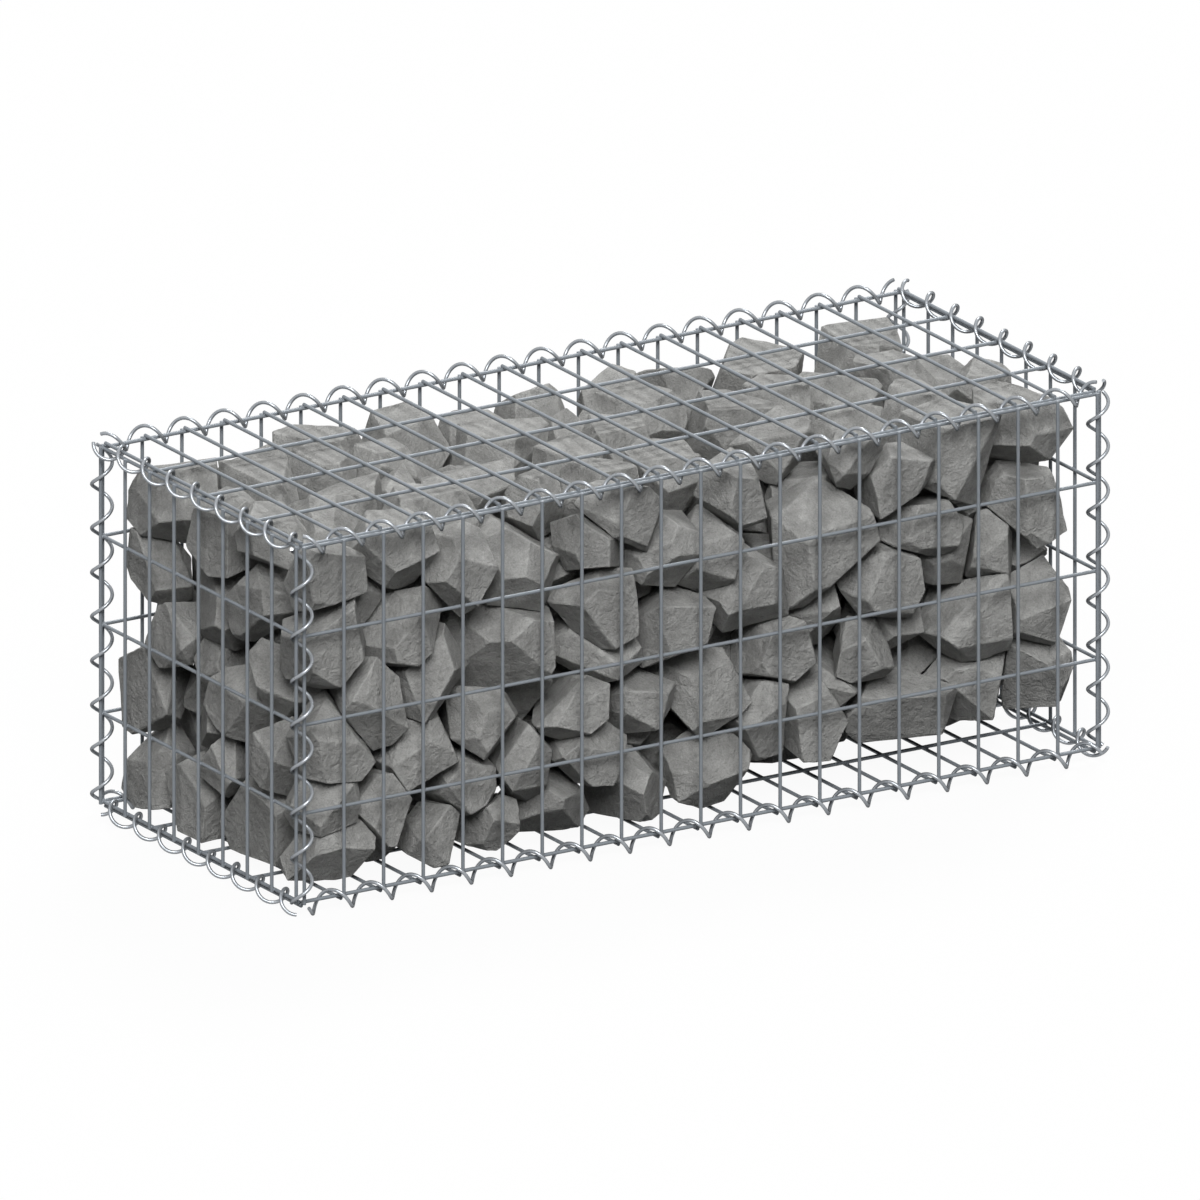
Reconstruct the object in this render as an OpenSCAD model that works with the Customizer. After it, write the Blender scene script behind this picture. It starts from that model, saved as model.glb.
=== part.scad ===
// One basket (unit) of a gabion wall: six panels of welded wire mesh, laced along
// all twelve edges with spiral binders, around a fill of broken stone.
// The frame has its origin on the floor, under the middle of the basket:
// X runs along the basket, Y from its front to its back, and Z up.

/* [Basket] */
// Length of the basket, between the middles of its end corners
basket_l = 1000; // [300:50:2000]
// Depth of the basket, from the front corners to the back corners
basket_w = 400; // [300:50:1000]
// Height of the basket, from its bottom wires to its top wires
basket_h = 400; // [200:50:1000]

/* [Mesh] */
// Diameter of the mesh wire
wire_d = 4; // [3:0.5:5]
// Spacing of the close wires: the uprights of the walls, and the cross wires of lid and base
close_pitch = 50; // [40:5:75]
// Spacing of the wide wires, which lie inside the close ones
wide_pitch = 100; // [75:5:150]
// Depth that the two layers of wire are pressed into each other by the welding
weld_bite = 0.4; // [0.2:0.1:0.8]
// Length that a wide wire runs past the corner that it ends at
end_past = 0.4; // [0.2:0.1:1]
// Clearance from the end of a wide wire to the panel next to it
end_gap = 0.3; // [0.2:0.1:0.8]
// Height of the lid's inner wires over the walls' top wires, and of the walls' over the base's
lid_lift = 1.5; // [1:0.1:3]

/* [Spiral binders] */
// Outer diameter of a spiral
spiral_d = 26; // [24:0.5:32]
// Diameter of the spirals' wire
spiral_wire_d = 4; // [2:0.5:5]
// Advance of a spiral in one turn, which is then fitted to the mesh's cells
spiral_pitch = 50; // [40:5:75]
// Clearance between a spiral and the edge wire that it bears on
spiral_seat_gap = 0.3; // [0.2:0.1:0.6]

/* [Stone fill] */
// Clearance between the stones and the corners of the basket, on all four sides
fill_side_gap = 12; // [8:1:40]
// Height that is left free over the stones
fill_top_gap = 28; // [10:1:60]
// Clearance between the lowest stones and the base panel
fill_seat_gap = 0.3; // [0.2:0.1:1]

/* [Hidden] */

// The wires are eight-sided bars. The spirals are swept with a square section.
wire_sides = 8;
spiral_sides = 4;
spiral_rings_per_turn = 12;

// Distance of the two layers of a wall from the corner lines of the basket.
inner_layer = wire_d / 2 + end_past + end_gap;
layer_step = wire_d - weld_bite;
outer_layer = inner_layer + layer_step;

// The outermost long wires of lid and base are set in, to clear the walls' wires.
lid_edge_inset = wire_d + end_gap - inner_layer;

// The spirals run round the corner lines at this distance, on both sides of the corner.
spiral_out = outer_layer / 2;
spiral_mean_r = (spiral_d - spiral_wire_d) / 2;

// Distance from a spiral's axis to the middle of the edge wire that it bears on. It allows
// for the corners of the eight-sided bar and for the flats of the swept turns.
wire_corner_r = wire_d / 2 / cos(180 / wire_sides);
spiral_bore_r = (spiral_mean_r - spiral_wire_d / 2) * cos(180 / spiral_rings_per_turn);
seat_reach = spiral_bore_r - spiral_seat_gap - wire_corner_r;

// How far a spiral is moved outward to bear on a wire that lies "across" and "beside" its axis.
function seat_shift(across, beside) = sqrt(seat_reach ^ 2 - beside ^ 2) - across;

lid_outer = lid_lift + layer_step;
long_shift = seat_shift(spiral_out + lid_edge_inset, spiral_out - lid_lift);
end_shift = seat_shift(spiral_out, lid_outer - spiral_out);
corner_shift = (seat_reach - spiral_out * sqrt(2)) / sqrt(2);

// The basket stands on its bottom spirals.
lift = spiral_out + spiral_d / 2;

function cells(size, pitch) = max(1, round(size / pitch));
function spread(size, pitch) = [for (i = [0:cells(size, pitch)]) size * (i / cells(size, pitch) - 0.5)];
function set_in(places, inset) = [for (p = places) p - sign(p) * (abs(p) >= max(places) ? inset : 0)];

// Some of the given places, as evenly spaced out as they allow.
function spaced_out(places, count) =
    [for (i = [0:count]) places[round(i * (len(places) - 1) / count)]];

close_x = spread(basket_l, close_pitch);
close_y = spread(basket_w, close_pitch);
wide_z = spread(basket_h, wide_pitch);

// Each long wire of lid and base lies at an upright of the ends, so that an end spiral
// passes both at the same angle. The outermost ones are then set in.
wide_lid_y = set_in(spaced_out(close_y, cells(basket_w, wide_pitch)), lid_edge_inset);

// Turns of a spiral in one cell of the mesh, so that it passes every wire at the same angle.
turns_per_close = max(1, round(close_pitch / spiral_pitch));
turns_per_wide = max(1, round(wide_pitch / spiral_pitch));

// Each spiral: its name, the two corner lines' sides, and the angle at which it passes the
// wires. The sides are those of the two axes that follow the spiral's own: Y and Z for a
// spiral along X, Z and X for one along Y, and X and Y for an upright one.
LONG_SPIRALS = [
    ["spiral_top_front", -1, 1, 90],
    ["spiral_top_back", 1, 1, 60],
    ["spiral_bottom_front", -1, -1, 180],
    ["spiral_bottom_back", 1, -1, 0],
];
END_SPIRALS = [
    ["spiral_top_left", 1, -1, 300],
    ["spiral_top_right", 1, 1, 30],
    ["spiral_bottom_left", -1, -1, 180],
    ["spiral_bottom_right", -1, 1, 90],
];
CORNER_SPIRALS = [
    ["spiral_front_left", -1, -1, 150],
    ["spiral_back_left", -1, 1, 90],
    ["spiral_front_right", 1, -1, 30],
    ["spiral_back_right", 1, 1, 0],
];

PANELS = ["front_panel", "back_panel", "left_end_panel", "right_end_panel", "lid_panel", "base_panel"];
SPIRALS = [for (s = concat(LONG_SPIRALS, END_SPIRALS, CORNER_SPIRALS)) s[0]];

// ---- Mesh panels ----

// A straight wire along Z, with a flat towards each side.
module wire(length) {
    rotate([0, 0, 180 / wire_sides])
        cylinder(r = wire_corner_r, h = length, center = true, $fn = wire_sides);
}

// A flat panel in the XY plane, with its outside towards +Z: wide wires along X, and on
// them the close wires along Y.
module mesh_panel(close_places, close_length, wide_places, wide_length) {
    union() {
        for (y = wide_places)
            translate([0, y, 0]) rotate([0, 90, 0]) wire(wide_length);
        for (x = close_places)
            translate([x, 0, layer_step]) rotate([90, 0, 0]) wire(close_length);
    }
}

// A wall panel, turned about Z from the front, at a distance from the middle of the basket.
module wall_panel(turn, half_depth, close_places) {
    width = 2 * max(close_places);
    color("slategray")
        rotate([0, 0, turn])
            translate([0, -half_depth - inner_layer, lift + basket_h / 2])
                rotate([90, 0, 0])
                    mesh_panel(close_places, basket_h + wire_d, wide_z, width + 2 * end_past);
}

module front_panel() wall_panel(0, basket_w / 2, close_x);
module back_panel() wall_panel(180, basket_w / 2, close_x);
module left_end_panel() wall_panel(-90, basket_l / 2, close_y);
module right_end_panel() wall_panel(90, basket_l / 2, close_y);

module flat_panel() {
    color("slategray")
        mesh_panel(close_x, basket_w + 2 * end_past, wide_lid_y, basket_l + 2 * end_past);
}

module lid_panel() {
    translate([0, 0, lift + basket_h + lid_lift]) flat_panel();
}

module base_panel() {
    translate([0, 0, lift - lid_lift]) rotate([180, 0, 0]) flat_panel();
}

// ---- Spiral binders ----

// The corners of the swept section at one ring of a right-handed spiral along Z. The
// section stands square to the wire, with a flat towards the axis.
function spiral_ring(angle, z, rise_per_degree) =
    let (
        out = [cos(angle), sin(angle), 0],
        along = [-sin(angle), cos(angle), rise_per_degree * 180 / PI / spiral_mean_r],
        side = cross(along / norm(along), out),
        corner_r = spiral_wire_d / 2 / cos(180 / spiral_sides)
    )
    [for (i = [0:spiral_sides - 1])
        let (a = 360 * (i + 0.5) / spiral_sides)
        out * (spiral_mean_r + corner_r * cos(a)) + side * corner_r * sin(a) + [0, 0, z]];

// The two triangles of each flat between one ring and the next. Their diagonal is the one
// that keeps the bore open.
function spiral_skin(rings) =
    [for (r = [0:rings - 1], i = [0:spiral_sides - 1])
        let (
            j = (i + 1) % spiral_sides,
            here = r * spiral_sides,
            next = here + spiral_sides
        )
        each [[here + i, next + i, next + j], [here + i, next + j, here + j]]];

// A spiral from z = 0 to the given length, which passes z = 0 at the given angle. Its ends
// are cut off square to the wire.
module spiral(length, turns, angle) {
    rings = turns * spiral_rings_per_turn;
    degrees = 360 / spiral_rings_per_turn;
    step = length / rings;
    points = [for (r = [0:rings])
        each spiral_ring(angle + r * degrees, r * step, step / degrees)];
    start_cap = [for (i = [0:spiral_sides - 1]) i];
    end_cap = [for (i = [spiral_sides - 1:-1:0]) rings * spiral_sides + i];
    color("silver")
        polyhedron(points, concat([start_cap, end_cap], spiral_skin(rings)));
}

// Turns Z to X, X to Y and Y to Z, so that a spiral keeps its hand.
module along_x() multmatrix([[0, 0, 1, 0], [1, 0, 0, 0], [0, 1, 0, 0]]) children();

// Turns Z to Y, X to Z and Y to X, so that a spiral keeps its hand.
module along_y() multmatrix([[0, 1, 0, 0], [0, 0, 1, 0], [1, 0, 0, 0]]) children();

// The height of the axis of a top spiral (side 1) or a bottom one (side -1).
function spiral_z(side) = lift + (side > 0 ? basket_h + spiral_out : -spiral_out);

module long_spiral(s) {
    y = s[1] * (basket_w / 2 + spiral_out + long_shift);
    turns = cells(basket_l, close_pitch) * turns_per_close;
    translate([-basket_l / 2, y, spiral_z(s[2])])
        along_x() spiral(basket_l, turns, s[3]);
}

module end_spiral(s) {
    x = s[2] * (basket_l / 2 + spiral_out + end_shift);
    turns = cells(basket_w, close_pitch) * turns_per_close;
    translate([x, -basket_w / 2, spiral_z(s[1])])
        along_y() spiral(basket_w, turns, s[3]);
}

module corner_spiral(s) {
    x = s[1] * (basket_l / 2 + spiral_out - corner_shift);
    y = s[2] * (basket_w / 2 + spiral_out + corner_shift);
    turns = cells(basket_h, wide_pitch) * turns_per_wide;
    translate([x, y, lift]) spiral(basket_h, turns, s[3]);
}

// ---- Stone fill ----

// The heap of loose stones, as the solid block that it fills.
module stone_fill() {
    seat = wire_d / 2 - lid_lift + fill_seat_gap;
    color("darkgray")
        translate([-basket_l / 2 + fill_side_gap, -basket_w / 2 + fill_side_gap, lift + seat])
            cube([
                basket_l - 2 * fill_side_gap,
                basket_w - 2 * fill_side_gap,
                basket_h - fill_top_gap - seat
            ]);
}

front_panel();
back_panel();
left_end_panel();
right_end_panel();
lid_panel();
base_panel();
for (s = LONG_SPIRALS) long_spiral(s);
for (s = END_SPIRALS) end_spiral(s);
for (s = CORNER_SPIRALS) corner_spiral(s);
stone_fill();
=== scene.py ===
"""Looks of one gabion basket: welded wire mesh, spiral binders and a fill of broken stone.

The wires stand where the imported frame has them. The stones are dropped into the basket by
a rigid-body simulation, which is the same each run.
"""

import logging
import math
import random
from dataclasses import dataclass, field
from enum import Enum

import bmesh
import bpy
from bpy.types import Material, NodeSocket, NodeTree, Object
from mathutils import Matrix, Vector


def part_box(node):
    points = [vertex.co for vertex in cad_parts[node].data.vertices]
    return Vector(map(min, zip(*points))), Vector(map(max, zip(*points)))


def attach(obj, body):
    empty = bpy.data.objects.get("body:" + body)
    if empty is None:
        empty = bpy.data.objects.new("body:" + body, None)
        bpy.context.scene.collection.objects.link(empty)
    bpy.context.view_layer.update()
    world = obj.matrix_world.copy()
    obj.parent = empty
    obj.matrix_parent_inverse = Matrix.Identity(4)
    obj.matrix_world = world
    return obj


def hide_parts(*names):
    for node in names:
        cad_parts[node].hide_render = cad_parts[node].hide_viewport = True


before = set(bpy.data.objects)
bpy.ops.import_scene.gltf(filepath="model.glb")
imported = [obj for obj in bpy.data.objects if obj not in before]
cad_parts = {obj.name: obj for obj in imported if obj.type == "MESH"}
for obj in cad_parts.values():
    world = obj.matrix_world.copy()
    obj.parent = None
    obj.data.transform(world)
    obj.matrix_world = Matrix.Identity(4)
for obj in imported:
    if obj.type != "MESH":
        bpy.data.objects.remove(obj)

LOG = logging.getLogger("gabion")
MM = 0.001
QUARTER = math.radians(90)
BODY = "root"


# ---- Helpers ----


def linear(hex_code: str) -> tuple[float, float, float, float]:
    """Turns an sRGB colour into the linear one that shaders take.

    Args:
        hex_code: The colour as "#rrggbb".

    Returns:
        Red, green, blue and an alpha of 1.
    """
    channels = [int(hex_code[i : i + 2], 16) / 255 for i in (1, 3, 5)]
    red, green, blue = (
        c / 12.92 if c <= 0.04045 else ((c + 0.055) / 1.055) ** 2.4 for c in channels
    )
    return (red, green, blue, 1.0)


def add_node(
    tree: NodeTree, kind: str, settings: dict | None = None, links: dict | None = None
) -> bpy.types.Node:
    """Adds one node with its settings and links.

    Args:
        tree: The node tree that it goes in.
        kind: The node's type, such as "ShaderNodeMath".
        settings: Values by name: the node's own properties, or its input sockets by name
            or number.
        links: Output sockets by the name or number of the input that each goes to.

    Returns:
        The new node.
    """
    node = tree.nodes.new(kind)
    for name, value in (settings or {}).items():
        if isinstance(name, str) and hasattr(node, name):
            setattr(node, name, value)
        else:
            node.inputs[name].default_value = value
    for name, output in (links or {}).items():
        tree.links.new(output, node.inputs[name])
    return node


def plain_mesh(source: Object, name: str) -> bpy.types.Mesh:
    """Returns the mesh that an object's modifiers make of it, and removes the object.

    Args:
        source: The object, with its modifiers.
        name: The name of the new mesh.

    Returns:
        A mesh of its own, with no modifier behind it.
    """
    bpy.context.view_layer.update()
    evaluated = source.evaluated_get(bpy.context.evaluated_depsgraph_get())
    mesh = bpy.data.meshes.new_from_object(evaluated)
    mesh.name = name
    old = source.data
    bpy.data.objects.remove(source)
    bpy.data.meshes.remove(old)
    return mesh


def run_tree(
    tree: NodeTree, inputs: dict, name: str, base: bpy.types.Mesh | None = None
) -> bpy.types.Mesh:
    """Runs a Geometry Nodes tree and returns its result as a plain mesh.

    Args:
        tree: The tree, whose inputs have the names that inputs gives.
        inputs: The values of the tree's inputs, by name.
        name: The name of the new mesh.
        base: The mesh that the tree starts from, if it needs one.

    Returns:
        The mesh that the tree makes.
    """
    holder = bpy.data.objects.new(name, base or bpy.data.meshes.new(name))
    bpy.context.scene.collection.objects.link(holder)
    modifier = holder.modifiers.new("Nodes", "NODES")
    modifier.node_group = tree
    sockets = {
        item.name: item.identifier
        for item in tree.interface.items_tree
        if item.item_type == "SOCKET" and item.in_out == "INPUT"
    }
    for key, value in inputs.items():
        modifier[sockets[key]] = value
    return plain_mesh(holder, name)


def new_tree(name: str, inputs: dict[str, str]) -> tuple[NodeTree, dict]:
    """Starts a Geometry Nodes tree with named inputs and one geometry output.

    Args:
        name: The tree's name.
        inputs: Each input's kind of socket, by its name.

    Returns:
        The tree, and its input sockets by name.
    """
    tree = bpy.data.node_groups.new(name, "GeometryNodeTree")
    for key, kind in inputs.items():
        tree.interface.new_socket(key, in_out="INPUT", socket_type=kind)
    tree.interface.new_socket("Geometry", in_out="OUTPUT", socket_type="NodeSocketGeometry")
    return tree, add_node(tree, "NodeGroupInput").outputs


def end_tree(tree: NodeTree, geometry: NodeSocket, finish: NodeSocket) -> None:
    """Ends a tree: makes its copies real, dresses them and gives them out.

    Args:
        tree: The tree.
        geometry: What the tree has made.
        finish: The material that it wears.
    """
    real = add_node(tree, "GeometryNodeRealizeInstances", {}, {0: geometry})
    dressed = add_node(
        tree, "GeometryNodeSetMaterial", {}, {"Geometry": real.outputs[0], "Material": finish}
    )
    add_node(tree, "NodeGroupOutput", {}, {0: dressed.outputs[0]})


def place(mesh: bpy.types.Mesh, name: str, slot: str, *nodes: str) -> Object:
    """Shows a finished mesh as a piece that rides on the basket and stands for CAD nodes.

    Args:
        mesh: The mesh, with its place in its points.
        name: The piece's name.
        slot: The name of a material slot; it is not used.
        *nodes: The CAD nodes that it stands for.

    Returns:
        The piece.
    """
    piece = bpy.data.objects.new(name, mesh)
    bpy.context.scene.collection.objects.link(piece)
    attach(piece, BODY)
    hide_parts(*nodes)
    LOG.info("%s: %d faces", name, len(mesh.polygons))
    return piece


# ---- Finishes ----


@dataclass(frozen=True)
class GalvanisedWire:
    """Drawn steel wire with a zinc coating: a dull bluish grey that shines softly.

    Its metallic share is that of bare zinc. The rest is oxide, which isn't a metal.
    """

    name: str
    zinc: str
    patina: str
    roughness: float
    unevenness: float
    edge_tint: str
    metallic: float

    def material(self) -> Material:
        """Makes the material, whose patina follows the zinc's faint crystal flecks.

        Returns:
            The material.
        """
        made = bpy.data.materials.new(self.name)
        made.use_nodes = True
        tree = made.node_tree
        shader = tree.nodes["Principled BSDF"]
        shader.inputs["Metallic"].default_value = self.metallic
        shader.inputs["Specular Tint"].default_value = linear(self.edge_tint)
        where = add_node(tree, "ShaderNodeTexCoord").outputs["Object"]
        # Zinc crystals on drawn wire are 2 to 5 mm long. They are drawn at 6 mm, to show.
        flecks = add_node(
            tree,
            "ShaderNodeTexNoise",
            {"Scale": 1 / (6 * MM), "Detail": 4.0, "Roughness": 0.6},
            {"Vector": where},
        )
        mix = add_node(
            tree,
            "ShaderNodeMix",
            {"data_type": "RGBA", 6: linear(self.zinc), 7: linear(self.patina)},
            {0: flecks.outputs["Fac"]},
        )
        tree.links.new(mix.outputs[2], shader.inputs["Base Color"])
        dull = add_node(
            tree,
            "ShaderNodeMapRange",
            {"To Min": self.roughness - 0.08, "To Max": self.roughness + 0.12},
            {"Value": flecks.outputs["Fac"]},
        )
        tree.links.new(dull.outputs["Result"], shader.inputs["Roughness"])
        # The hot dip leaves a skin that is uneven by a few hundredths of a millimetre.
        skin = add_node(
            tree, "ShaderNodeTexNoise", {"Scale": 1 / (3 * MM), "Detail": 2.0}, {"Vector": where}
        )
        bump = add_node(
            tree,
            "ShaderNodeBump",
            {"Strength": self.unevenness, "Distance": 0.1 * MM},
            {"Height": skin.outputs["Fac"]},
        )
        tree.links.new(bump.outputs["Normal"], shader.inputs["Normal"])
        return made


@dataclass(frozen=True)
class BrokenStone:
    """Crushed greywacke: fresh matte fracture faces, fine-grained, with faint bedding."""

    name: str = "crushed_greywacke"
    light: str = "#9b9b99"
    dark: str = "#888886"
    streak: str = "#737372"
    roughness: float = 0.92

    def material(self) -> Material:
        """Makes the material, which reads each stone's own coordinates, tint and edges.

        Returns:
            The material.
        """
        made = bpy.data.materials.new(self.name)
        made.use_nodes = True
        tree = made.node_tree
        shader = tree.nodes["Principled BSDF"]
        shader.inputs["Specular IOR Level"].default_value = 0.25
        rock_place = add_node(tree, "ShaderNodeAttribute", {"attribute_name": "rock_place"})
        where = rock_place.outputs["Vector"]
        tint = add_node(tree, "ShaderNodeAttribute", {"attribute_name": "tint"}).outputs["Fac"]
        # The mask of the worn edges, which are painted lighter: partly wear, partly a painted
        # highlight.
        edge_wear_and_highlight = add_node(tree, "ShaderNodeAttribute", {"attribute_name": "edge_wear_and_highlight"}).outputs["Fac"]

        # Cloudy patches of lighter and darker rock, 25 mm across.
        clouds = add_node(
            tree,
            "ShaderNodeTexNoise",
            {"Scale": 1 / (25 * MM), "Detail": 5.0, "Roughness": 0.62},
            {"Vector": where},
        )
        # Sand grains are under 1 mm. They are drawn at 2 mm, to show.
        grain = add_node(
            tree,
            "ShaderNodeTexNoise",
            {"Scale": 1 / (2 * MM), "Detail": 3.0, "Roughness": 0.7},
            {"Vector": where},
        )
        # Bedding: streaks 4 mm thick and 30 mm long.
        bedding = add_node(
            tree,
            "ShaderNodeMapping",
            {"Scale": (1 / (30 * MM), 1 / (30 * MM), 1 / (4 * MM))},
            {"Vector": where},
        )
        streaks = add_node(
            tree,
            "ShaderNodeTexNoise",
            {"Scale": 1.0, "Detail": 3.0, "Distortion": 0.4},
            {"Vector": bedding.outputs["Vector"]},
        )
        body = add_node(
            tree,
            "ShaderNodeMapRange",
            {"From Min": 0.35, "From Max": 0.65},
            {"Value": clouds.outputs["Fac"]},
        )
        rock = add_node(
            tree,
            "ShaderNodeMix",
            {"data_type": "RGBA", 6: linear(self.dark), 7: linear(self.light)},
            {0: body.outputs["Result"]},
        )
        seams = add_node(
            tree,
            "ShaderNodeMapRange",
            {"From Min": 0.58, "From Max": 0.75, "To Max": 0.35},
            {"Value": streaks.outputs["Fac"]},
        )
        veined = add_node(
            tree,
            "ShaderNodeMix",
            {"data_type": "RGBA", 7: linear(self.streak)},
            {0: seams.outputs["Result"], 6: rock.outputs[2]},
        )
        # Grain, the stone's own tint and its edges change how light the rock is. The worn edges are
        # painted lighter: partly crushed-edge wear, partly a painted highlight where they catch the
        # light.
        speckle = add_node(
            tree,
            "ShaderNodeMapRange",
            {"From Min": 0.3, "From Max": 0.7, "To Min": -0.17, "To Max": 0.17},
            {"Value": grain.outputs["Fac"]},
        )
        # Painted highlight along the edges, a tenth lighter, which also stands for crushed-edge wear.
        edge_wear_and_highlight_lift = add_node(tree, "ShaderNodeMath", {"operation": "MULTIPLY", 1: 0.1}, {0: edge_wear_and_highlight})
        shade = add_node(
            tree,
            "ShaderNodeMath",
            {"operation": "ADD"},
            {0: speckle.outputs["Result"], 1: edge_wear_and_highlight_lift.outputs[0]},
        )
        level = add_node(tree, "ShaderNodeMath", {"operation": "ADD"}, {0: shade.outputs[0], 1: tint})
        colour = add_node(
            tree,
            "ShaderNodeVectorMath",
            {"operation": "SCALE"},
            {0: veined.outputs[2], "Scale": level.outputs[0]},
        )
        tree.links.new(colour.outputs["Vector"], shader.inputs["Base Color"])
        matte = add_node(
            tree,
            "ShaderNodeMapRange",
            {"To Min": self.roughness - 0.08, "To Max": self.roughness + 0.08},
            {"Value": grain.outputs["Fac"]},
        )
        tree.links.new(matte.outputs["Result"], shader.inputs["Roughness"])
        # The fracture faces roll by a millimetre or two every 8 mm, down to the grains.
        rolls = add_node(
            tree,
            "ShaderNodeTexNoise",
            {"Scale": 1 / (8 * MM), "Detail": 6.0, "Roughness": 0.66, "Distortion": 0.4},
            {"Vector": where},
        )
        bump = add_node(
            tree,
            "ShaderNodeBump",
            {"Strength": 1.0, "Distance": 4.5 * MM},
            {"Height": rolls.outputs["Fac"]},
        )
        pits = add_node(
            tree,
            "ShaderNodeBump",
            {"Strength": 0.8, "Distance": 1.0 * MM},
            {"Height": grain.outputs["Fac"], "Normal": bump.outputs["Normal"]},
        )
        tree.links.new(pits.outputs["Normal"], shader.inputs["Normal"])
        return made


# ---- Basket ----


@dataclass(frozen=True)
class Basket:
    """The corner lines of the basket and the wires that stand at them.

    Attributes:
        wide_end_past: How far a wide-spaced wire runs past its last crossing wire's middle.
        layer_step: From the middle of one layer of wires to that of the next.
        edge_inset: How far in the lid's outer long wires stand from the corner wires.
    """

    half_length: float
    half_depth: float
    bottom: float
    top: float
    under_lid: float
    wire_r: float = 2 * MM
    wide_end_past: float = 0.4 * MM
    layer_step: float = 3.6 * MM
    edge_inset: float = 1.6 * MM

    @classmethod
    def from_frame(cls) -> "Basket":
        """Reads the basket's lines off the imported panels.

        Returns:
            The basket that they make.
        """
        low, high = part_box("front_panel")
        return cls(
            half_length=high.x - cls.wire_r,
            half_depth=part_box("left_end_panel")[1].y - cls.wire_r,
            bottom=low.z + cls.wire_r,
            top=high.z - cls.wire_r,
            under_lid=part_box("lid_panel")[0].z,
        )


class Outward(Enum):
    """The way that a panel's outside faces: its turn from lying flat, outside up."""

    FRONT = Matrix.Rotation(QUARTER, 4, "X")
    BACK = Matrix.Rotation(2 * QUARTER, 4, "Z") @ Matrix.Rotation(QUARTER, 4, "X")
    LEFT = Matrix.Rotation(-QUARTER, 4, "Z") @ Matrix.Rotation(QUARTER, 4, "X")
    RIGHT = Matrix.Rotation(QUARTER, 4, "Z") @ Matrix.Rotation(QUARTER, 4, "X")
    UP = Matrix.Identity(4)
    DOWN = Matrix.Rotation(2 * QUARTER, 4, "X")


@dataclass
class MeshPanel:
    """A flat panel of welded mesh: wide-spaced wires, with close ones welded outside them."""

    node: str
    outward: Outward
    close_wires: int
    wide_wires: int
    basket: Basket
    wire_sides: int = 14
    bead_r: float = 2.5 * MM

    def measures(self) -> dict:
        """Reads the panel's sizes, lying flat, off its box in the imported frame.

        Returns:
            The values of the panel tree's inputs, by name.
        """
        low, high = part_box(self.node)
        turned = self.outward.value.to_3x3().inverted() @ (high - low)
        length, width, _ = (abs(v) for v in turned)
        flat = self.outward in (Outward.UP, Outward.DOWN)
        span = length - 2 * self.basket.wire_r
        reach = 2 * self.basket.half_depth if flat else width - 2 * self.basket.wire_r
        limit = reach / 2 - (self.basket.edge_inset if flat else 0)
        return {
            "Close Count": self.close_wires,
            "Close Span": span,
            "Close Length": width,
            "Wide Count": self.wide_wires,
            "Wide Span": reach,
            "Wide Limit": limit,
            "Wide Length": span + 2 * self.basket.wide_end_past,
            "Layer Step": self.basket.layer_step,
            "Radius": self.basket.wire_r,
            "Bead Radius": self.bead_r,
            "Sides": self.wire_sides,
        }

    def centre(self) -> Vector:
        """Finds where the panel's inner layer of wires stands.

        Returns:
            The layer's middle.
        """
        low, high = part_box(self.node)
        half_step = Vector((0, 0, self.basket.layer_step / 2))
        return (low + high) / 2 - self.outward.value.to_3x3() @ half_step

    def build(self, tree: NodeTree, finish: Material) -> Object:
        """Builds the panel's piece.

        Args:
            tree: The tree that makes a panel lying flat.
            finish: The wire's material.

        Returns:
            The piece.
        """
        mesh = run_tree(tree, {**self.measures(), "Finish": finish}, self.node + "_wires")
        mesh.transform(Matrix.Translation(self.centre()) @ self.outward.value)
        return place(mesh, self.node + "_wires", "mesh_wire", self.node)


def spaced_points(
    tree: NodeTree, axis: str, count: NodeSocket, span: NodeSocket
) -> NodeSocket:
    """Adds evenly spaced points, centred, along one axis.

    Args:
        tree: The node tree that they go in.
        axis: The axis: "X", "Y" or "Z".
        count: How many points there are.
        span: The distance from the first to the last.

    Returns:
        The points.
    """
    gaps = add_node(tree, "ShaderNodeMath", {"operation": "SUBTRACT", 1: 1.0}, {0: count})
    pitch = add_node(
        tree, "ShaderNodeMath", {"operation": "DIVIDE"}, {0: span, 1: gaps.outputs[0]}
    )
    first = add_node(tree, "ShaderNodeMath", {"operation": "MULTIPLY", 1: -0.5}, {0: span})
    start = add_node(tree, "ShaderNodeCombineXYZ", {}, {axis: first.outputs[0]})
    step = add_node(tree, "ShaderNodeCombineXYZ", {}, {axis: pitch.outputs[0]})
    return add_node(
        tree,
        "GeometryNodeMeshLine",
        {"mode": "OFFSET"},
        {"Count": count, "Start Location": start.outputs[0], "Offset": step.outputs[0]},
    ).outputs[0]


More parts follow.
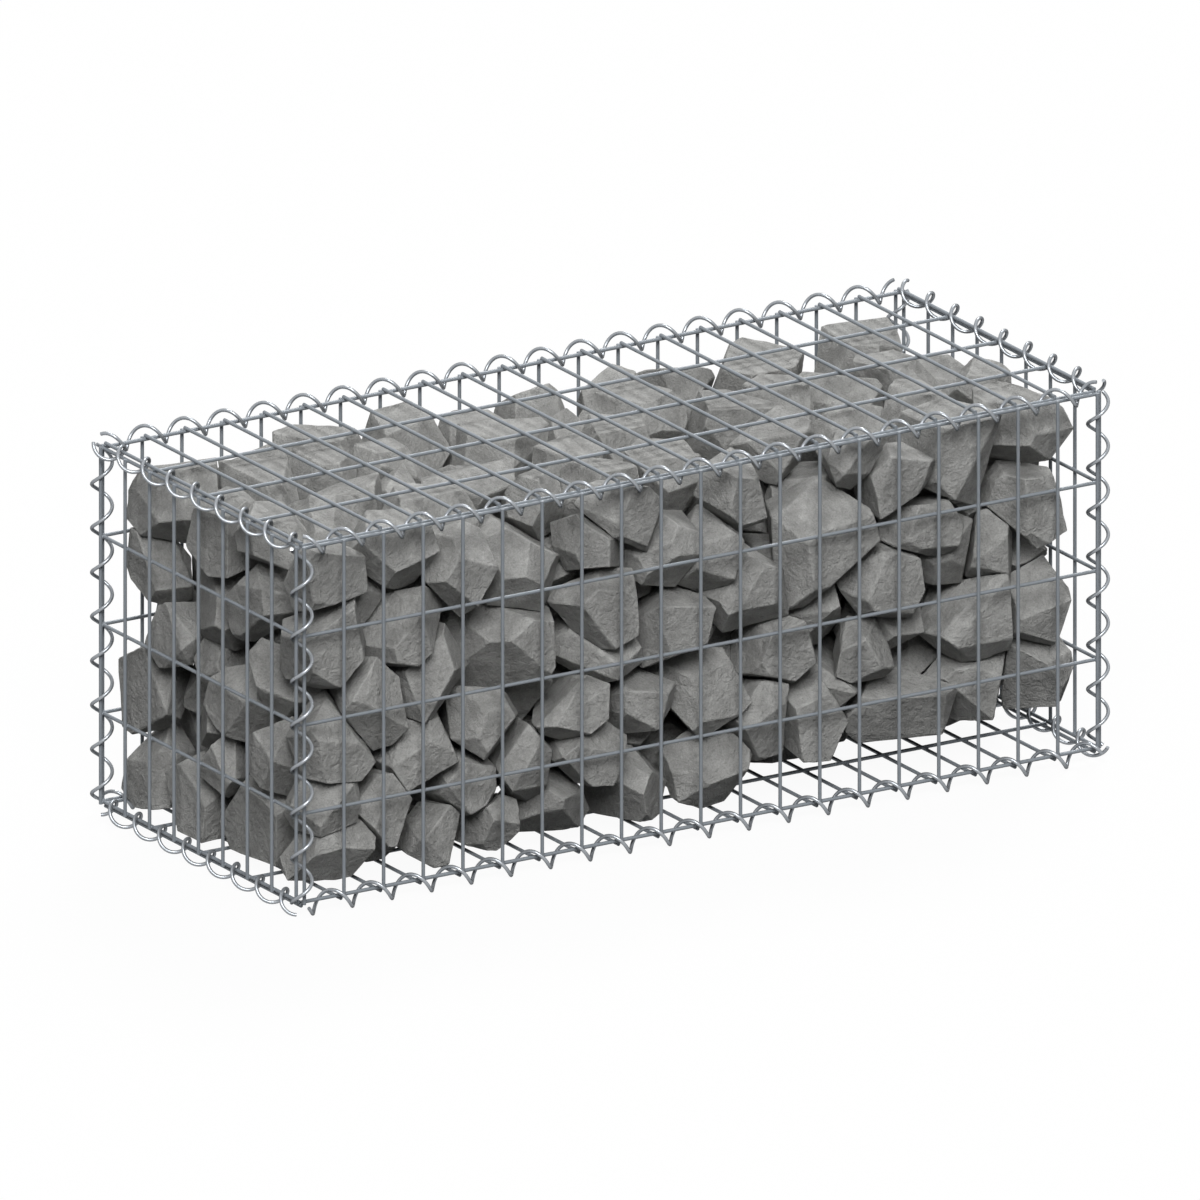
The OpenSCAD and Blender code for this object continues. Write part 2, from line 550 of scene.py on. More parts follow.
def wires_at(
    tree: NodeTree,
    given: dict,
    points: NodeSocket,
    length: NodeSocket,
    rotation: tuple[float, float, float],
) -> NodeSocket:
    """Adds a round wire at each point, its long sides smooth and its ends flat.

    Args:
        tree: The node tree that they go in.
        given: The tree's input sockets by name. Sides and Radius are the wire's.
        points: The middles of the wires.
        length: The wires' length.
        rotation: The turn that lays an upright wire down.

    Returns:
        The wires.
    """
    wire = add_node(
        tree,
        "GeometryNodeMeshCylinder",
        {},
        {"Vertices": given["Sides"], "Radius": given["Radius"], "Depth": length},
    )
    smooth = add_node(
        tree,
        "GeometryNodeSetShadeSmooth",
        {},
        {"Geometry": wire.outputs["Mesh"], "Selection": wire.outputs["Side"]},
    )
    # The rims of the ends are sharp, so that the ends don't tilt the long sides' shading.
    bend = add_node(tree, "GeometryNodeInputMeshEdgeAngle").outputs["Unsigned Angle"]
    rims = add_node(tree, "ShaderNodeMath", {"operation": "GREATER_THAN", 1: 1.0}, {0: bend})
    crisp = add_node(
        tree,
        "GeometryNodeSetShadeSmooth",
        {"domain": "EDGE", "Shade Smooth": False},
        {"Geometry": smooth.outputs[0], "Selection": rims.outputs[0]},
    )
    return add_node(
        tree,
        "GeometryNodeInstanceOnPoints",
        {"Rotation": rotation},
        {"Points": points, "Instance": crisp.outputs[0]},
    ).outputs[0]


def panel_tree() -> NodeTree:
    """Makes the tree that lays out and welds the wires of one panel.

    Returns:
        The tree.
    """
    tree, given = new_tree(
        "Welded Panel",
        {
            "Close Count": "NodeSocketInt",
            "Close Span": "NodeSocketFloat",
            "Close Length": "NodeSocketFloat",
            "Wide Count": "NodeSocketInt",
            "Wide Span": "NodeSocketFloat",
            "Wide Limit": "NodeSocketFloat",
            "Wide Length": "NodeSocketFloat",
            "Layer Step": "NodeSocketFloat",
            "Radius": "NodeSocketFloat",
            "Bead Radius": "NodeSocketFloat",
            "Sides": "NodeSocketInt",
            "Finish": "NodeSocketMaterial",
        },
    )

    position = add_node(tree, "GeometryNodeInputPosition").outputs[0]
    parts = add_node(tree, "ShaderNodeSeparateXYZ", {}, {0: position})
    limit = given["Wide Limit"]
    least = add_node(tree, "ShaderNodeMath", {"operation": "MULTIPLY", 1: -1.0}, {0: limit})
    held = add_node(
        tree,
        "ShaderNodeClamp",
        {},
        {"Value": parts.outputs["Y"], "Min": least.outputs[0], "Max": limit},
    )
    inset = add_node(
        tree, "ShaderNodeCombineXYZ", {}, {"X": parts.outputs["X"], "Y": held.outputs[0]}
    )
    spread = spaced_points(tree, "Y", given["Wide Count"], given["Wide Span"])
    wide_points = add_node(
        tree, "GeometryNodeSetPosition", {}, {"Geometry": spread, "Position": inset.outputs[0]}
    ).outputs[0]
    close_points = spaced_points(tree, "X", given["Close Count"], given["Close Span"])
    wide = wires_at(tree, given, wide_points, given["Wide Length"], (0, QUARTER, 0))
    close = wires_at(tree, given, close_points, given["Close Length"], (QUARTER, 0, 0))
    step = add_node(tree, "ShaderNodeCombineXYZ", {}, {"Z": given["Layer Step"]})
    raised = add_node(
        tree, "GeometryNodeTransform", {}, {"Geometry": close, "Translation": step.outputs[0]}
    )
    crossings = add_node(
        tree, "GeometryNodeInstanceOnPoints", {}, {"Points": close_points, "Instance": wide_points}
    )
    crossing_points = add_node(tree, "GeometryNodeRealizeInstances", {}, {0: crossings.outputs[0]})
    bead = add_node(
        tree, "GeometryNodeMeshIcoSphere", {"Subdivisions": 2}, {"Radius": given["Bead Radius"]}
    )
    # The weld flattens the bead between the two layers of wire.
    bead_smooth = add_node(tree, "GeometryNodeSetShadeSmooth", {}, {0: bead.outputs[0]})
    beads = add_node(
        tree,
        "GeometryNodeInstanceOnPoints",
        {"Scale": (1.0, 1.0, 0.62)},
        {"Points": crossing_points.outputs[0], "Instance": bead_smooth.outputs[0]},
    )
    halved = add_node(
        tree, "ShaderNodeMath", {"operation": "MULTIPLY", 1: 0.5}, {0: given["Layer Step"]}
    )
    half_step = add_node(tree, "ShaderNodeCombineXYZ", {}, {"Z": halved.outputs[0]})
    welds = add_node(
        tree,
        "GeometryNodeTransform",
        {},
        {"Geometry": beads.outputs[0], "Translation": half_step.outputs[0]},
    )
    joined = add_node(tree, "GeometryNodeJoinGeometry")
    for part in (wide, raised.outputs[0], welds.outputs[0]):
        tree.links.new(part, joined.inputs[0])
    end_tree(tree, joined.outputs[0], given["Finish"])
    return tree


# ---- Spiral binders ----


class Run(Enum):
    """The way that a spiral runs: the turn from upright that keeps it right-handed."""

    LONG = Matrix(((0, 0, 1, 0), (1, 0, 0, 0), (0, 1, 0, 0), (0, 0, 0, 1)))
    DEEP = Matrix(((0, 1, 0, 0), (0, 0, 1, 0), (1, 0, 0, 0), (0, 0, 0, 1)))
    UPRIGHT = Matrix.Identity(4)


@dataclass
class SpiralBinder:
    """A spiral of spring wire, wound round the edge wires of two panels.

    Its start angle is in degrees.
    """

    node: str
    run: Run
    turns: int
    start_angle: float
    wire_r: float = 2 * MM
    rings_per_turn: int = 32
    wire_sides: int = 12

    def build(self, tree: NodeTree, finish: Material, basket: Basket) -> Object:
        """Builds the spiral's piece.

        Args:
            tree: The tree that makes an upright spiral from the origin.
            finish: The wire's material.
            basket: The basket, whose corners it runs between.

        Returns:
            The piece.
        """
        low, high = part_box(self.node)
        start = (low + high) / 2
        outer_r = min(high - low) / 2
        if self.run is Run.LONG:
            length, start.x = 2 * basket.half_length, -basket.half_length
        elif self.run is Run.DEEP:
            length, start.y = 2 * basket.half_depth, -basket.half_depth
        else:
            length, start.z = basket.top - basket.bottom, basket.bottom
        sizes = {
            "Turns": float(self.turns),
            "Length": length,
            "Mean Radius": outer_r - self.wire_r,
            "Wire Radius": self.wire_r,
            "Start Angle": math.radians(self.start_angle),
            "Rings": self.rings_per_turn,
            "Sides": self.wire_sides,
            "Finish": finish,
        }
        mesh = run_tree(tree, sizes, self.node + "_wire")
        mesh.transform(Matrix.Translation(start) @ self.run.value)
        return place(mesh, self.node + "_wire", "spiral_wire", self.node)


def spiral_tree() -> NodeTree:
    """Makes the tree that sweeps a round wire along a right-handed spiral.

    Returns:
        The tree.
    """
    tree, given = new_tree(
        "Spiral Binder",
        {
            "Turns": "NodeSocketFloat",
            "Length": "NodeSocketFloat",
            "Mean Radius": "NodeSocketFloat",
            "Wire Radius": "NodeSocketFloat",
            "Start Angle": "NodeSocketFloat",
            "Rings": "NodeSocketInt",
            "Sides": "NodeSocketInt",
            "Finish": "NodeSocketMaterial",
        },
    )
    path = add_node(
        tree,
        "GeometryNodeCurveSpiral",
        {"Reverse": True},
        {
            "Resolution": given["Rings"],
            "Rotations": given["Turns"],
            "Start Radius": given["Mean Radius"],
            "End Radius": given["Mean Radius"],
            "Height": given["Length"],
        },
    )
    turn = add_node(tree, "ShaderNodeCombineXYZ", {}, {"Z": given["Start Angle"]})
    turned = add_node(
        tree,
        "GeometryNodeTransform",
        {},
        {"Geometry": path.outputs[0], "Rotation": turn.outputs[0]},
    )
    section = add_node(
        tree,
        "GeometryNodeCurvePrimitiveCircle",
        {},
        {"Resolution": given["Sides"], "Radius": given["Wire Radius"]},
    )
    wire = add_node(
        tree,
        "GeometryNodeCurveToMesh",
        {"Fill Caps": True},
        {"Curve": turned.outputs[0], "Profile Curve": section.outputs[0]},
    )
    smooth = add_node(tree, "GeometryNodeSetShadeSmooth", {}, {0: wire.outputs[0]})
    end_tree(tree, smooth.outputs[0], given["Finish"])
    return tree


# ---- Stone fill ----


@dataclass
class Stone:
    """One broken stone: a convex block of flat fracture faces, centred on its own origin.

    Attributes:
        apart: How far apart two fracture faces' directions are at first.
        give_way: The share that this shrinks to, each time that no place is found.
        block_share: The block's size against the stone's.
        cut_depths: The nearest and farthest cut, as shares of the distance to its side.
        blunt: Corners nearer than this are worn into one.
        flat_step: Faces that meet at less than this many degrees are worn into one.
    """

    half_sizes: Vector
    faces_cut: int
    rng: random.Random
    tint: float = 1.0
    apart: float = 1.05
    give_way: float = 0.985
    block_share: float = 1.1
    cut_depths: tuple[float, float] = (0.66, 0.98)
    blunt: float = 9 * MM
    flat_step: float = 9
    shape: bmesh.types.BMesh | None = None
    pose: Matrix = field(default_factory=Matrix)

    def direction(self) -> Vector:
        """Picks a direction at random, all equally likely.

        Returns:
            The direction, of length 1.
        """
        z = self.rng.uniform(-1, 1)
        turn = self.rng.uniform(0, 2 * math.pi)
        flat = math.sqrt(1 - z * z)
        return Vector((flat * math.cos(turn), flat * math.sin(turn), z))

    def fracture_planes(self) -> list[Vector]:
        """Picks directions for the fracture faces, none too near another.

        Returns:
            The directions that the faces look in.
        """
        found: list[Vector] = []
        apart = self.apart
        while len(found) < self.faces_cut:
            new = self.direction()
            if all((new - old).length > apart for old in found):
                found.append(new)
            else:
                apart *= self.give_way
        return found

    def cut(self) -> None:
        """Splits the stone out of a slightly larger block, one fracture face after another."""
        block = bmesh.new()
        bmesh.ops.create_cube(block, size=2.0)
        bmesh.ops.scale(block, vec=self.half_sizes * self.block_share, verts=block.verts)
        for way in self.fracture_planes():
            reach = Vector([way[i] * self.half_sizes[i] for i in range(3)]).length
            reach *= self.rng.uniform(*self.cut_depths)
            parts = [*block.verts, *block.edges, *block.faces]
            done = bmesh.ops.bisect_plane(
                block, geom=parts, plane_co=way * reach, plane_no=way, clear_outer=True
            )
            rim = [e for e in done["geom_cut"] if isinstance(e, bmesh.types.BMEdge)]
            if rim:
                bmesh.ops.contextual_create(block, geom=rim)
        # Corners that lie close together are worn into one, and small steps are worn flat.
        bmesh.ops.remove_doubles(block, verts=block.verts, dist=self.blunt)
        self.shape = bmesh.new()
        for v in block.verts:
            self.shape.verts.new(v.co)
        block.free()
        bmesh.ops.convex_hull(self.shape, input=self.shape.verts)
        bmesh.ops.dissolve_limit(
            self.shape,
            angle_limit=math.radians(self.flat_step),
            verts=self.shape.verts,
            edges=self.shape.edges,
        )
        middle = sum((v.co for v in self.shape.verts), Vector()) / len(self.shape.verts)
        bmesh.ops.translate(self.shape, vec=-middle, verts=self.shape.verts)

    def finished(self, wear: float, cuts: int) -> bmesh.types.BMesh:
        """Makes the stone with worn edges and with a fine grid on its faces.

        Args:
            wear: How far the edges are worn back.
            cuts: How often a side of a face is divided for the grid.

        Returns:
            The finished stone, apart from the rougher shape that is kept.
        """
        bm = self.shape.copy()
        for f in bm.faces:
            f.material_index = 1
        bmesh.ops.bevel(
            bm,
            geom=bm.edges[:],
            offset=wear,
            offset_type="WIDTH",
            segments=1,
            profile=0.5,
            affect="EDGES",
            clamp_overlap=True,
            material=0,
        )
        flats = [f for f in bm.faces if f.material_index == 1]
        for f in flats:
            for e in f.edges:
                e.smooth = False
        bmesh.ops.poke(bm, faces=flats)
        fans = [e for e in bm.edges if any(f.material_index == 1 for f in e.link_faces)]
        bmesh.ops.subdivide_edges(bm, edges=fans, cuts=cuts, use_grid_fill=True)
        return bm


@dataclass
class StoneFill:
    """The heap of stones in the basket.

    The simulation runs at a larger scale, because it holds small bodies less steadily.

    Attributes:
        width_shares: The least and greatest width, as shares of a stone's length.
        height_shares: The least and greatest height, likewise.
        tint_spread: How much the stones differ in how light they are.
        floor_lift: How far over the middle of the bottom wires the stones come to rest.
        kerb_from: Where the kerb starts, from the basket's middle towards its right end.
        plate_waits_over: How far over its lowest place the plate starts to press.
        rock_shift: How far, at most, a stone's pattern is moved, so that no two are alike.
    """

    basket: Basket
    node: str = "stone_fill"
    seed: int = 7
    count: int = 290
    smallest: float = 38 * MM
    largest: float = 63 * MM
    width_shares: tuple[float, float] = (0.72, 1.0)
    height_shares: tuple[float, float] = (0.62, 0.88)
    face_counts: tuple[int, int] = (8, 12)
    tint_spread: float = 0.035
    wall_gap: float = 9 * MM
    wall_thick: float = 0.3
    wall_tall: float = 3.0
    floor_lift: float = 1 * MM
    lid_gap: float = 2 * MM
    kerb_from: float = 90 * MM
    kerb_depth: float = 105 * MM
    kerb_height: float = 36 * MM
    plate_inset: float = 12 * MM
    plate_thick: float = 0.2
    plate_below_top: float = 8 * MM
    plate_waits_over: float = 0.3
    scale_up: float = 10.0
    frames: int = 170
    substeps: int = 10
    solver_steps: int = 20
    friction: float = 0.08
    margin: float = 0.004
    slide_damping: float = 0.05
    spin_damping: float = 0.2
    shake_from: int = 40
    shake_to: int = 110
    shake_every: int = 3
    shake_reach: float = 6 * MM
    shake_turn: float = 110
    press_from: int = 60
    press_to: int = 120
    columns: int = 8
    rows: int = 3
    first_layer: float = 0.10
    layer_apart: float = 0.12
    edge_wear_mm: tuple[float, float] = (1.2, 2.2)
    grid_cuts: int = 4
    rock_shift: float = 5.0
    pieces: int = 5
    stones: list[Stone] = field(default_factory=list)

    def make_stones(self) -> None:
        """Cuts every stone, each of its own shape, size and tint."""
        rng = random.Random(self.seed)
        for _ in range(self.count):
            size = rng.triangular(self.smallest, self.largest)
            width = size * rng.uniform(*self.width_shares)
            height = size * rng.uniform(*self.height_shares)
            faces = rng.randint(*self.face_counts)
            stone = Stone(Vector((size, width, height)), faces, random.Random(rng.random()))
            stone.tint = rng.gauss(1.0, self.tint_spread)
            stone.cut()
            self.stones.append(stone)

    def wall(self, low: Vector, high: Vector) -> Object:
        """Makes a fixed block for the simulation, at its larger scale.

        Args:
            low: The block's lowest corner, at real scale.
            high: The block's highest corner, at real scale.

        Returns:
            The block.
        """
        bm = bmesh.new()
        bmesh.ops.create_cube(bm, size=1.0)
        bmesh.ops.scale(bm, vec=(high - low) * self.scale_up, verts=bm.verts)
        mesh = bpy.data.meshes.new("wall")
        bm.to_mesh(mesh)
        bm.free()
        wall = bpy.data.objects.new("wall", mesh)
        wall.location = (low + high) / 2 * self.scale_up
        return wall

    def walls(self) -> list[Object]:
        """Makes the sides and floor that hold the stones while they settle.

        Returns:
            The floor, the four sides and a kerb.
        """
        x = self.basket.half_length - self.wall_gap
        y = self.basket.half_depth - self.wall_gap
        z = self.basket.bottom + self.floor_lift
        out_x, out_y, tall = x + self.wall_thick, y + self.wall_thick, self.wall_tall
        corners = (
            ((-out_x, -out_y, z - self.wall_thick), (out_x, out_y, z)),
            ((-out_x, -out_y, z), (-x, out_y, tall)),
            ((x, -out_y, z), (out_x, out_y, tall)),
            ((-out_x, -out_y, z), (out_x, -y, tall)),
            ((-out_x, y, z), (out_x, out_y, tall)),
            # A kerb keeps the stones off the front of the floor, where they bridge a gap.
            ((self.kerb_from, -y, z), (x, self.kerb_depth - y, z + self.kerb_height)),
        )
        return [self.wall(Vector(low), Vector(high)) for low, high in corners]

    def plate(self) -> Object:
        """Makes the plate that comes down to under the lid and beds the top stones in.

        Returns:
            The plate, with its way down.
        """
        x = self.basket.half_length - self.plate_inset
        y = self.basket.half_depth - self.plate_inset
        high = self.wall_tall + self.plate_thick
        plate = self.wall(Vector((-x, -y, self.wall_tall)), Vector((x, y, high)))
        rest = self.basket.top - self.plate_below_top + self.plate_thick / 2
        plate.keyframe_insert("location", frame=1)
        plate.location.z = (rest + self.plate_waits_over) * self.scale_up
        plate.keyframe_insert("location", frame=self.press_from)
        plate.location.z = rest * self.scale_up
        plate.keyframe_insert("location", frame=self.press_to)
        return plate

    def shake(self, walls: list[Object]) -> None:
        """Shakes the walls from side to side for a while, which packs the stones closer.

        Args:
            walls: The sides and floor.
        """
        for wall in walls:
            home = wall.location.copy()
            frames = range(self.shake_from, self.shake_to, self.shake_every)
            for step, number in enumerate(frames):
                reach = self.shake_reach * self.scale_up * (step > 0)
                turn = math.radians(self.shake_turn) * step
                wall.location = home + Vector((math.cos(turn), math.sin(turn), 0)) * reach
                wall.keyframe_insert("location", frame=number)
            wall.location = home
            wall.keyframe_insert("location", frame=self.shake_to)

    def heap(self) -> list[Object]:
        """Makes the stones' simulation bodies, in layers over the basket's floor.

        Returns:
            A body for each stone, in the stones' order.
        """
        rng = random.Random(self.seed + 1)
        bodies = []
        room_x = 2 * (self.basket.half_length - self.wall_gap)
        room_y = 2 * (self.basket.half_depth - self.wall_gap)
        for i, stone in enumerate(self.stones):
            layer, cell = divmod(i, self.columns * self.rows)
            column, row = divmod(cell, self.rows)
            spot = Vector(
                (
                    ((column + 0.5) / self.columns - 0.5) * room_x,
                    ((row + 0.5) / self.rows - 0.5) * room_y,
                    self.basket.bottom + self.first_layer + self.layer_apart * layer,
                )
            )
            mesh = bpy.data.meshes.new("stone")
            stone.shape.to_mesh(mesh)
            mesh.transform(Matrix.Scale(self.scale_up, 4))
            body = bpy.data.objects.new("stone", mesh)
            body.location = spot * self.scale_up
            body.rotation_euler = [rng.uniform(-math.pi, math.pi) for _ in range(3)]
            bodies.append(body)
        return bodies

    def settle(self) -> None:
        """Drops the stones into the basket and keeps where they come to rest."""
        scene = bpy.context.scene
        bpy.ops.rigidbody.world_add()
        world = scene.rigidbody_world
        world.substeps_per_frame = self.substeps
        world.solver_iterations = self.solver_steps
        world.point_cache.frame_start = 1
        world.point_cache.frame_end = self.frames
        walls, bodies = self.walls(), self.heap()
        self.shake(walls)
        walls.append(self.plate())
        for o in bpy.context.selected_objects:
            o.select_set(False)
        for group, kind in ((walls, "PASSIVE"), (bodies, "ACTIVE")):
            for o in group:
                scene.collection.objects.link(o)
                o.select_set(True)
                bpy.context.view_layer.objects.active = o
            bpy.ops.rigidbody.objects_add(type=kind)
            for o in group:
                o.rigid_body.collision_shape = "BOX" if kind == "PASSIVE" else "CONVEX_HULL"
                o.rigid_body.friction = self.friction
                o.rigid_body.restitution = 0.0
                o.rigid_body.use_margin = True
                o.rigid_body.collision_margin = self.margin
                o.rigid_body.linear_damping = self.slide_damping
                o.rigid_body.angular_damping = self.spin_damping
                o.rigid_body.kinematic = kind == "PASSIVE"
                o.select_set(False)
        for number in range(1, self.frames + 1):
            scene.frame_set(number)
        graph = bpy.context.evaluated_depsgraph_get()
        shrink = Matrix.Scale(1 / self.scale_up, 4)
        grow = Matrix.Scale(self.scale_up, 4)
        for stone, body in zip(self.stones, bodies):
            stone.pose = shrink @ body.evaluated_get(graph).matrix_world @ grow
        bpy.ops.rigidbody.world_remove()
        for o in walls + bodies:
            mesh = o.data
            bpy.data.objects.remove(o)
            bpy.data.meshes.remove(mesh)
        scene.frame_set(1)

    def fits(self, stone: Stone) -> bool:
        """Tells whether a settled stone lies wholly inside the closed basket.

        Args:
            stone: The stone.

        Returns:
            Whether each of its corners is inside.
        """
        lid = self.basket.under_lid - self.lid_gap
        points = [stone.pose @ v.co for v in stone.shape.verts]
        inside = all(
            abs(p.x) < self.basket.half_length and abs(p.y) < self.basket.half_depth for p in points
        )
        return inside and max(p.z for p in points) < lid

    def joined(self, stones: list[Stone]) -> bpy.types.Mesh:
        """Joins finished stones in place, with the values that their finish reads.

        Args:
            stones: The stones to join.

        Returns:
            One mesh of them all.
        """
        whole = bmesh.new()
        rock = whole.verts.layers.float_vector.new("rock_place")
        tint = whole.verts.layers.float.new("tint")
        edge_wear_and_highlight = whole.verts.layers.float.new("edge_wear_and_highlight")
        for stone in stones:
            wear = stone.rng.uniform(*self.edge_wear_mm) * MM
            bm = stone.finished(wear, self.grid_cuts)
            reach = self.rock_shift
            shift = Vector([stone.rng.uniform(-reach, reach) for _ in range(3)])
            copies = []
            for v in bm.verts:
                new = whole.verts.new(stone.pose @ v.co)
                new[rock] = v.co + shift
                new[tint] = stone.tint
                # The worn edges, which the finish paints lighter, partly as wear and partly as a
                # painted highlight.
                new[edge_wear_and_highlight] = float(any(f.material_index == 0 for f in v.link_faces))
                copies.append(new)
            bm.verts.index_update()
            for f in bm.faces:
                whole.faces.new([copies[v.index] for v in f.verts])
            for e in bm.edges:
                if not e.smooth:
                    whole.edges.get([copies[v.index] for v in e.verts]).smooth = False
            bm.free()
        mesh = bpy.data.meshes.new("stones")
        whole.to_mesh(mesh)
        whole.free()
        return mesh

    def build(self, tree: NodeTree, finish: Material) -> list[Object]:
        """Builds the stones' pieces, each a run of the heap along the basket.

        Args:
            tree: The tree that roughens the stones.
            finish: The stone's material.

        Returns:
            The pieces.
        """
        self.make_stones()
        self.settle()
        kept = [stone for stone in self.stones if self.fits(stone)]
        kept.sort(key=lambda stone: stone.pose.translation.x)
        LOG.info("%d of %d stones lie in the basket", len(kept), len(self.stones))
        made = []
        for i in range(self.pieces):
            share = kept[len(kept) * i // self.pieces : len(kept) * (i + 1) // self.pieces]
            mesh = run_tree(tree, {"Finish": finish}, f"stones_{i + 1}", self.joined(share))
            made.append(place(mesh, f"stones_{i + 1}", "stone", self.node))
        return made


def stone_tree() -> NodeTree:
    """Makes the tree that makes the stones' fracture faces uneven.

    Returns:
        The tree.
    """
    tree, given = new_tree(
        "Fracture Faces",
        {"Stones": "NodeSocketGeometry", "Finish": "NodeSocketMaterial"},
    )
    rock = add_node(
        tree, "GeometryNodeInputNamedAttribute", {"data_type": "FLOAT_VECTOR", "Name": "rock_place"}
    ).outputs[0]
    noise = add_node(
        tree,
        "ShaderNodeTexNoise",
        {"Scale": 1 / (18 * MM), "Detail": 3.0, "Roughness": 0.65},
        {"Vector": rock},
    )
    depth = add_node(
        tree,
        "ShaderNodeMapRange",
        {"From Min": 0.3, "From Max": 0.7, "To Min": -1.1 * MM, "To Max": 0.6 * MM},
        {"Value": noise.outputs[0]},
    )
    normal = add_node(tree, "GeometryNodeInputNormal").outputs[0]
    offset = add_node(
        tree,
        "ShaderNodeVectorMath",
        {"operation": "SCALE"},
        {0: normal, "Scale": depth.outputs["Result"]},
    )
    moved = add_node(
        tree,
        "GeometryNodeSetPosition",
        {},
        {"Geometry": given["Stones"], "Offset": offset.outputs[0]},
    )
    shaded = add_node(tree, "GeometryNodeSetShadeSmooth", {}, {0: moved.outputs[0]})
    end_tree(tree, shaded.outputs[0], given["Finish"])
    return tree


# ---- Studio ----


@dataclass
class Studio:
    """A pale floor, soft light and the camera."""

    azimuth: float = -31.65
    elevation: float = 18.4
    width_seen: float = 1.288
    distance: float = 6.0
    look_at: Vector = field(default_factory=lambda: Vector((0, 0, 0.2132)))
    sky_low: float = 0.0
    sky_high: float = 0.60
    floor_grey: str = "#303030"
    floor_glow: float = 0.95

    def seen_directly(self, tree: NodeTree) -> NodeSocket:
        """Adds a switch between what is seen and what lights the object.

        Args:
            tree: The node tree that it goes in.

        Returns:
            A socket that is 1 for what the camera sees, also in metal or glass, and else 0.
        """
        path = add_node(tree, "ShaderNodeLightPath")
        either = add_node(
            tree,
            "ShaderNodeMath",
            {"operation": "MAXIMUM"},
            {0: path.outputs["Is Camera Ray"], 1: path.outputs["Is Glossy Ray"]},
        )
        return add_node(
            tree,
            "ShaderNodeMath",
            {"operation": "MAXIMUM"},
            {0: either.outputs[0], 1: path.outputs["Is Transmission Ray"]},
        ).outputs[0]

    def world(self) -> None:
        """Makes the world: white to the eye, and an even soft light on the object."""
        world = bpy.data.worlds.new("studio")
        world.use_nodes = True
        tree = world.node_tree
        # The light comes mostly from above, as from a wide ceiling panel.
        way = add_node(tree, "ShaderNodeTexCoord").outputs["Generated"]
        height = add_node(tree, "ShaderNodeSeparateXYZ", {}, {0: way}).outputs["Z"]
        sky = add_node(
            tree,
            "ShaderNodeMapRange",
            {"To Min": self.sky_low, "To Max": self.sky_high},
            {"Value": height},
        )
        strength = add_node(
            tree, "ShaderNodeMix", {3: 1.0}, {0: self.seen_directly(tree), 2: sky.outputs["Result"]}
        )
        tree.links.new(strength.outputs[0], tree.nodes["Background"].inputs["Strength"])
        tree.nodes["Background"].inputs["Color"].default_value = (1, 1, 1, 1)
        bpy.context.scene.world = world

    def floor(self) -> None:
        """Makes the floor, which looks white and keeps the object's shadow."""
        bm = bmesh.new()
        bmesh.ops.create_grid(bm, x_segments=2, y_segments=2, size=9.0)
        mesh = bpy.data.meshes.new("floor")
        bm.to_mesh(mesh)
        bm.free()
        floor = bpy.data.objects.new("floor", mesh)
        bpy.context.scene.collection.objects.link(floor)
        made = bpy.data.materials.new("studio_floor")
        made.use_nodes = True
        tree = made.node_tree
        tree.nodes.remove(tree.nodes["Principled BSDF"])
        matte = add_node(tree, "ShaderNodeBsdfDiffuse", {"Color": linear(self.floor_grey)})
        glow = add_node(
            tree,
            "ShaderNodeMath",
            {"operation": "MULTIPLY", 1: self.floor_glow},
            {0: self.seen_directly(tree)},
        )
        lit = add_node(tree, "ShaderNodeEmission", {}, {"Strength": glow.outputs[0]})
        both = add_node(tree, "ShaderNodeAddShader", {}, {0: matte.outputs[0], 1: lit.outputs[0]})
        tree.links.new(both.outputs[0], tree.nodes["Material Output"].inputs["Surface"])
        mesh.materials.append(made)

    def lamp(self, name: str, way: Vector, strength: float, softness: float) -> None:
        """Adds a soft distant lamp.

        Args:
            name: The lamp's name.
            way: The direction from the object to the lamp.
            strength: Its strength in watts per square metre.
            softness: The angle that it fills, in degrees.
        """
        data = bpy.data.lights.new(name, "SUN")
        data.energy = strength
        data.angle = math.radians(softness)
        lamp = bpy.data.objects.new(name, data)
        lamp.rotation_euler = way.to_track_quat("Z", "Y").to_euler()
        lamp.location = way * 3
        bpy.context.scene.collection.objects.link(lamp)

    def camera(self) -> None:
        """Makes the camera, which looks without perspective at the middle of the basket."""
        turn, tilt = math.radians(self.azimuth), math.radians(self.elevation)
        away = Vector(
            (math.sin(turn) * math.cos(tilt), -math.cos(turn) * math.cos(tilt), math.sin(tilt))
        )
        data = bpy.data.cameras.new("camera")
        data.type = "ORTHO"
        data.ortho_scale = self.width_seen
        data.clip_end = 30
        camera = bpy.data.objects.new("camera", data)
        camera.location = self.look_at + away * self.distance
        camera.rotation_euler = away.to_track_quat("Z", "Y").to_euler()
        bpy.context.scene.collection.objects.link(camera)
        bpy.context.scene.camera = camera

    def build(self) -> None:
        """Builds the studio."""
        bpy.context.scene.view_settings.view_transform = "Standard"
        self.world()
        self.floor()
        # The key light comes over the viewer's shoulder. The rim light comes from behind, and
        # draws a bright line along the lid's wires.
        self.lamp("key", Vector((-0.40, -0.66, 0.68)).normalized(), 3.4, 30)
        self.lamp("rim", Vector((0.50, 0.50, 0.70)).normalized(), 2.3, 20)
        self.camera()


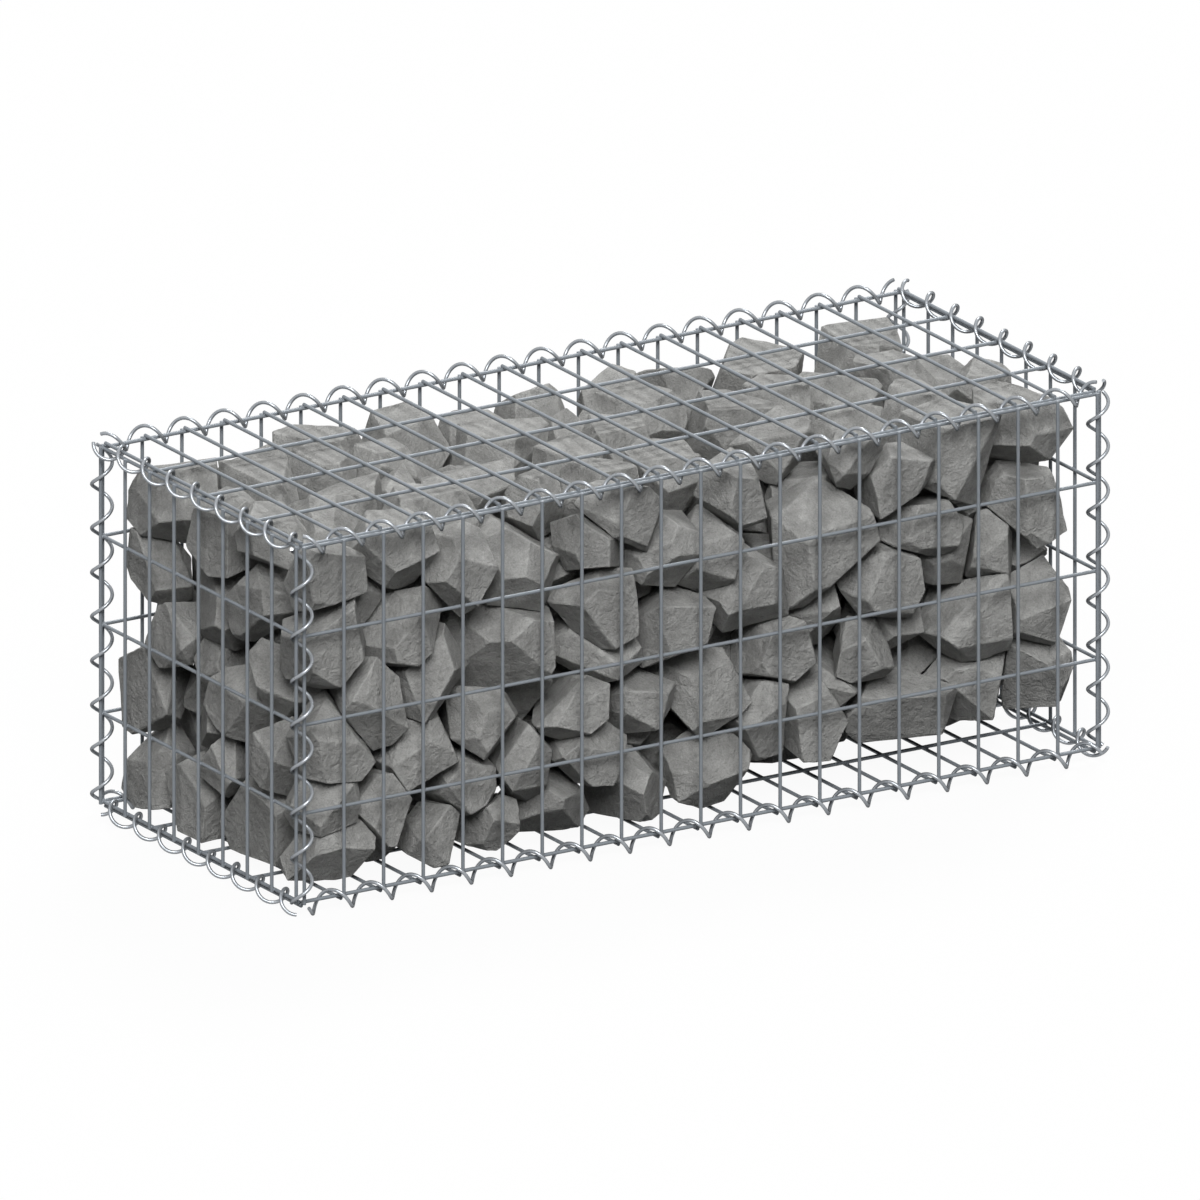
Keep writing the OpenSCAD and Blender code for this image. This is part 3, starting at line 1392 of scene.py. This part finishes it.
def main() -> None:
    """Builds every piece of the basket and the studio around it."""
    logging.basicConfig(level=logging.INFO, format="%(name)s: %(message)s")
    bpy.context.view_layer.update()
    basket = Basket.from_frame()
    studio = Studio()
    studio.build()

    # The mesh wire has weathered to a dull oxide. The spring wire is newer and shines more.
    mesh_finish = GalvanisedWire(
        name="galvanised_mesh_wire",
        zinc="#888d92",
        patina="#787e84",
        roughness=0.42,
        unevenness=0.2,
        edge_tint="#33373c",
        metallic=0.18,
    ).material()
    spiral_finish = GalvanisedWire(
        name="galvanised_spring_wire",
        zinc="#a2a6aa",
        patina="#8e9297",
        roughness=0.28,
        unevenness=0.05,
        edge_tint="#16181b",
        metallic=0.6,
    ).material()
    panels = panel_tree()
    for node, outward, close, wide in (
        ("front_panel", Outward.FRONT, 21, 5),
        ("back_panel", Outward.BACK, 21, 5),
        ("left_end_panel", Outward.LEFT, 9, 5),
        ("right_end_panel", Outward.RIGHT, 9, 5),
        ("lid_panel", Outward.UP, 21, 5),
        ("base_panel", Outward.DOWN, 21, 5),
    ):
        MeshPanel(node, outward, close, wide, basket).build(panels, mesh_finish)
    spirals = spiral_tree()
    for node, run, turns, angle in (
        ("spiral_top_front", Run.LONG, 20, 90),
        ("spiral_top_back", Run.LONG, 20, 60),
        ("spiral_bottom_front", Run.LONG, 20, 180),
        ("spiral_bottom_back", Run.LONG, 20, 0),
        ("spiral_top_left", Run.DEEP, 8, 300),
        ("spiral_top_right", Run.DEEP, 8, 30),
        ("spiral_bottom_left", Run.DEEP, 8, 180),
        ("spiral_bottom_right", Run.DEEP, 8, 90),
        ("spiral_front_left", Run.UPRIGHT, 8, 150),
        ("spiral_back_left", Run.UPRIGHT, 8, 90),
        ("spiral_front_right", Run.UPRIGHT, 8, 30),
        ("spiral_back_right", Run.UPRIGHT, 8, 0),
    ):
        SpiralBinder(node, run, turns, angle).build(spirals, spiral_finish, basket)
    StoneFill(basket).build(stone_tree(), BrokenStone().material())


if __name__ == "__main__":
    main()
